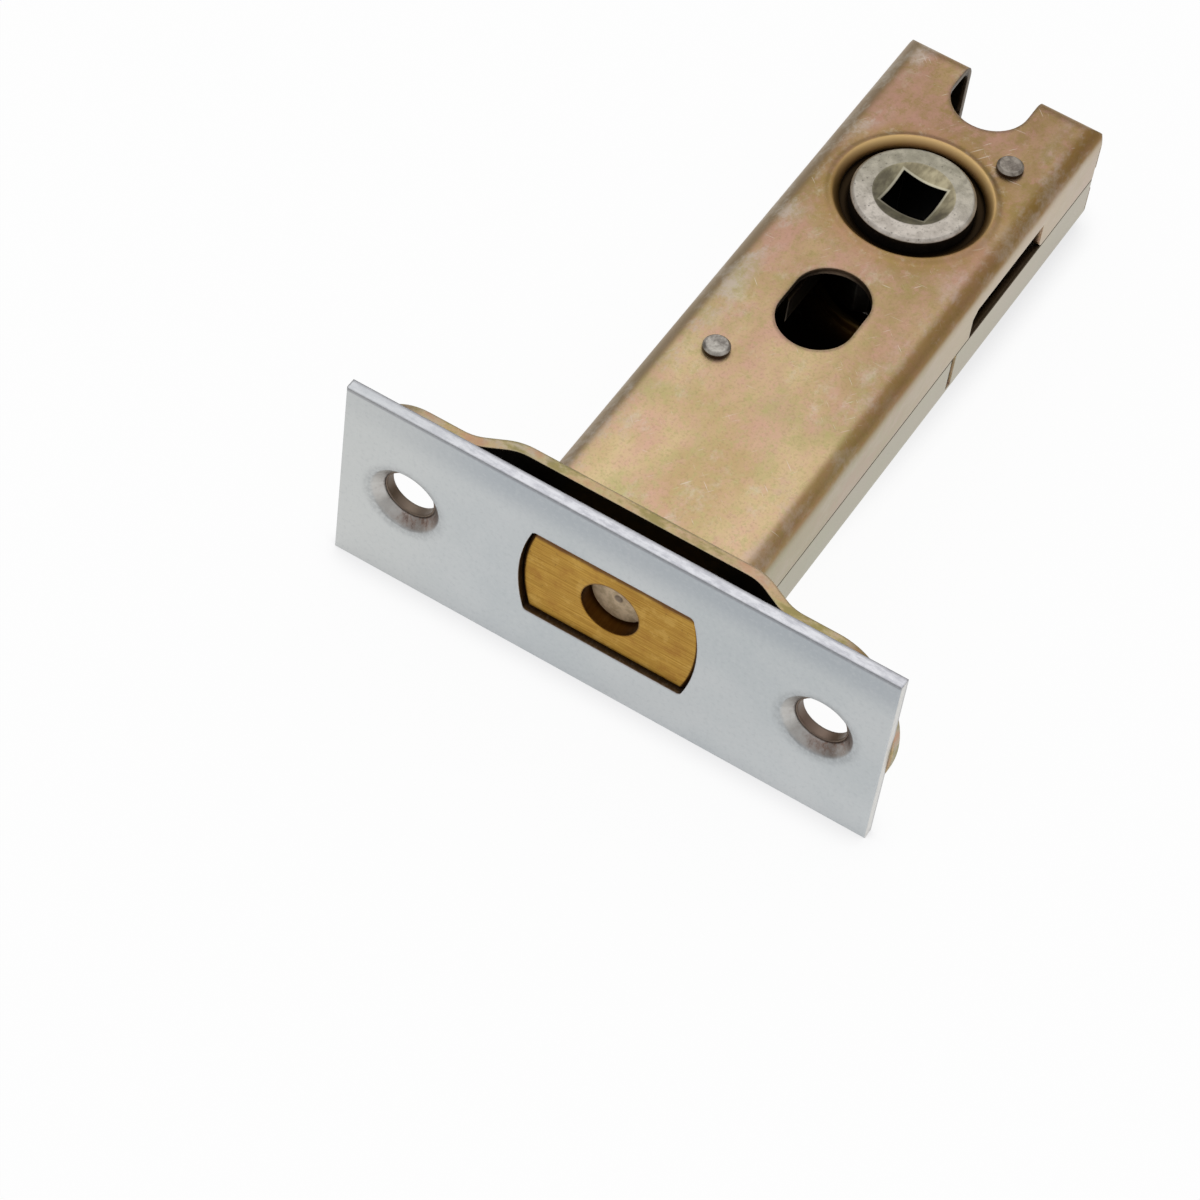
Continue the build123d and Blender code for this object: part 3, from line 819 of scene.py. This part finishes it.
# %% [markdown]
# Painted shade darkens the brass: a painted shadow of the plate's edge in a band along the top of
# the face, painted shade on the rounded rim, and a reddish painted shade in the bore round the
# core pin. The edges are darkened by tarnish and painted shade together.

# %% Dark places on the brass
brow_drop = 1.1
brow_start = bolt_top - brow_drop
# painted shadow of the plate's edge along the top of the bolt face
brow_shadow = brass.ramp(brass.z + 0.5 * tarnish, brow_start - 0.15, brow_start + 0.35) * front
brass.lay(brow_shadow * 0.85, paint(80, 44, 18))
# tarnish and painted shade on the brass edges
brass.lay(brass.edge * (0.35 + 0.8 * tarnish), paint(100, 60, 26))
# painted shade, reddish, in the bore round the core pin
bore_shade = brass.under(distance(brass.y, brass.z), pin_radius + 0.04) * (1 - front)
brass.lay(bore_shade * 0.85, paint(78, 46, 20))
# painted shade on the rounded rim of the bolt
rim_shade = brass.ramp(brass.facing_x, 0.5, 0.65) * (1 - brass.ramp(brass.facing_x, 0.85, 0.95))
brass.lay(rim_shade * 0.7, paint(104, 66, 30))
dress(brass.metal(0.30 + 0.18 * lines, lines, bump_depth=0.012), "bolt_head")

# %% [markdown]
# The steel pieces are small and plain: the rivets, the tail's pins and the spring. One function
# makes them all, from two tones in a mottle, a third for painted shade on the walls and a lumpy
# relief.

# %% Plain steel
small_edge = 0.18


def steel(name, light, shade, wall, roughness, lumps, lump_depth):
    """Plain steel between two tones, with painted shade on the walls and so many lumps to a
    millimetre.
    """
    plain = Finish(name, small_edge)
    mottle = plain.noise(0.9, detail=4, seed=6, rough=0.65)
    lump = plain.noise(lumps, detail=3, seed=14)
    plain.tone = plain.blend(plain.ramp(mottle, 0.34, 0.66), shade, light)
    # painted shade on the side walls
    plain.lay(plain.under(plain.facing_z.size(), 0.3, 0.3), wall)
    plain.lay(plain.edge * 0.4, paint(190, 188, 184))
    return plain.metal(roughness + 0.15 * mottle, lump, lump_depth)


print("edges of the small steel pieces in mm:", small_edge)

# %% [markdown]
# The rivet heads are cropped, so they are lumpy on top, and painted shade darkens them down the
# side. The rear one is the duller of the two. The spring is rolled strip, smooth and grey.

# %% Rivets and spring
rivet_look = steel(
    "rivet_steel",
    light=paint(192, 187, 178),
    shade=paint(118, 112, 106),
    wall=paint(66, 54, 44),
    roughness=0.34,
    lumps=1.3,
    lump_depth=0.07,
)
dress(rivet_look, "front_rivet", "tail_pins")
dull_rivet_look = steel(
    "dull_rivet_steel",
    light=paint(166, 158, 147),
    shade=paint(112, 104, 96),
    wall=paint(66, 52, 40),
    roughness=0.42,
    lumps=1.6,
    lump_depth=0.04,
)
dress(dull_rivet_look, "rear_rivet")
spring_look = steel(
    "spring_steel",
    light=paint(150, 150, 148),
    shade=paint(112, 111, 108),
    wall=paint(104, 102, 98),
    roughness=0.30,
    lumps=5,
    lump_depth=0.006,
)
dress(spring_look, "detent_spring")

# %% [markdown]
# The core pin is turned, so fine rings run round its face to a punched mark in the middle. Rings
# come from noise that is fed one number alone, the distance from the pin's axis. The face is dull
# beside the brass, so it is only half metallic.

# %% Core pin
mark_radius = 0.35

pin = Finish("pin_steel", small_edge)
pin_distance = distance(pin.y, pin.z)
pin_mottle = pin.noise(0.9, detail=4, seed=19, rough=0.65)
pin_place = pin.node("ShaderNodeCombineXYZ", sockets={"X": pin_distance})
pin_rings = pin.noise((9, 0, 0), detail=2, seed=21, place=pin_place)
pin.tone = pin.blend(pin.ramp(pin_mottle, 0.4, 0.6), paint(192, 170, 138), paint(220, 198, 166))
pin.lay(pin.ramp(pin_rings, 0.55, 0.65) * 0.25, paint(132, 114, 104))
pin.lay(pin.under(pin_distance, mark_radius, 0.25) * 0.6, paint(104, 92, 92))
turned_face = pin.metal(0.5 + 0.12 * pin_mottle, pin_rings, bump_depth=0.006, metallic=0.5)
dress(turned_face, "bolt_core_pin")

# %% [markdown]
# The hub is a small casting. Its skin is matt and pitted, with painted light that makes it paler
# towards the front, and dark specks where dirt sits in the pores. Real pits would need a very fine
# mesh, so a Voronoi texture gives their places, and the same values darken them and press them
# into the relief.

# %% Skin of the hub
pores_per_mm = 2.1

cast = Finish("hub_cast", edge_radius=0.3)
skin = cast.noise(2.6, detail=5, seed=7, rough=0.7)
mottle = cast.noise(0.8, detail=3, seed=12)
pores = cast.node("ShaderNodeTexVoronoi", sockets={"Vector": cast.place, "Scale": pores_per_mm})
pit = (1 - cast.ramp(pores, 0.08, 0.2)) * cast.ramp(skin, 0.45, 0.6)
# painted light: the hub's skin is paler towards the front
lit_front_side = cast.ramp(cast.x - hub_x + 0.3 * cast.y, -6, 6)
skin_light = cast.blend(lit_front_side, paint(178, 172, 154), paint(208, 200, 190))
skin_shade = cast.blend(lit_front_side, paint(152, 147, 130), paint(182, 174, 164))
cast.tone = cast.blend(cast.ramp(mottle, 0.35, 0.65), skin_shade, skin_light)
cast.lay(cast.ramp(skin, 0.52, 0.64) * 0.45, paint(130, 124, 114))
cast.lay(pit * 0.7, paint(88, 84, 80))
print("pores of the casting in mm:", round(1 / pores_per_mm, 2))

# %% [markdown]
# The sink round the square hole was cut, so it is smoother and a little yellow. It is a shallow
# cone, and painted light makes its rear side the brightest. A painted highlight runs round the
# square as a pale lip, and the hub's edges get a painted highlight too.

# %% Sink of the hub
sink_radius = 4.35
square_half = 2.55
lip_width = 0.22

sink = cast.under(distance(cast.x - hub_x, cast.y), sink_radius, 0.1)
cut = cast.noise((0.5, 0.9, 0.5), detail=4, seed=18, rough=0.6)
# painted light: the sink's rear side is the brightest
lit_sink_back = cast.ramp(hub_x - cast.x + 0.4 * cast.y, -0.5, 3)
sink_light = cast.blend(lit_sink_back, paint(134, 128, 102), paint(172, 162, 132))
sink_shade = cast.blend(lit_sink_back, paint(94, 88, 70), paint(122, 113, 88))
sink_tone = cast.blend(cast.ramp(cut, 0.36, 0.64), sink_shade, sink_light)
cast.lay(sink * 0.9, sink_tone)
from_square = (cast.x - hub_x).size().above(cast.y.size())
# painted highlight: a pale lip round the square hole
square_lip_highlight = cast.under(from_square, square_half + lip_width, 0.12)
cast.lay(square_lip_highlight * 0.5, paint(216, 211, 188))
# painted highlight on the hub's edges
cast.lay(cast.edge * 0.45, paint(212, 209, 202))
print("cut sink from", square_half, "to", sink_radius, "mm")

# %% [markdown]
# The square hole and the side of the boss see no light and are black. The cut sink has hardly any
# relief, so it takes most of the skin's bump away.

# %% Dark places on the hub
boss_edge = 0.5
square = cast.under(from_square, square_half + 0.02, 0.03)
cast.lay(square * 0.96, paint(18, 17, 14))
low_on_boss = cast.under(cast.z.size(), boss_top - boss_edge, 0.4)
boss_wall = low_on_boss * cast.under(cast.facing_z.size(), 0.5, 0.2)
cast.lay(boss_wall * 0.9, paint(24, 20, 16))
pitted = (skin - 1.2 * pit) * (1 - 0.8 * sink)
dress(cast.metal(0.46 - 0.12 * sink, pitted, bump_depth=0.05), "hub")

# %% [markdown]
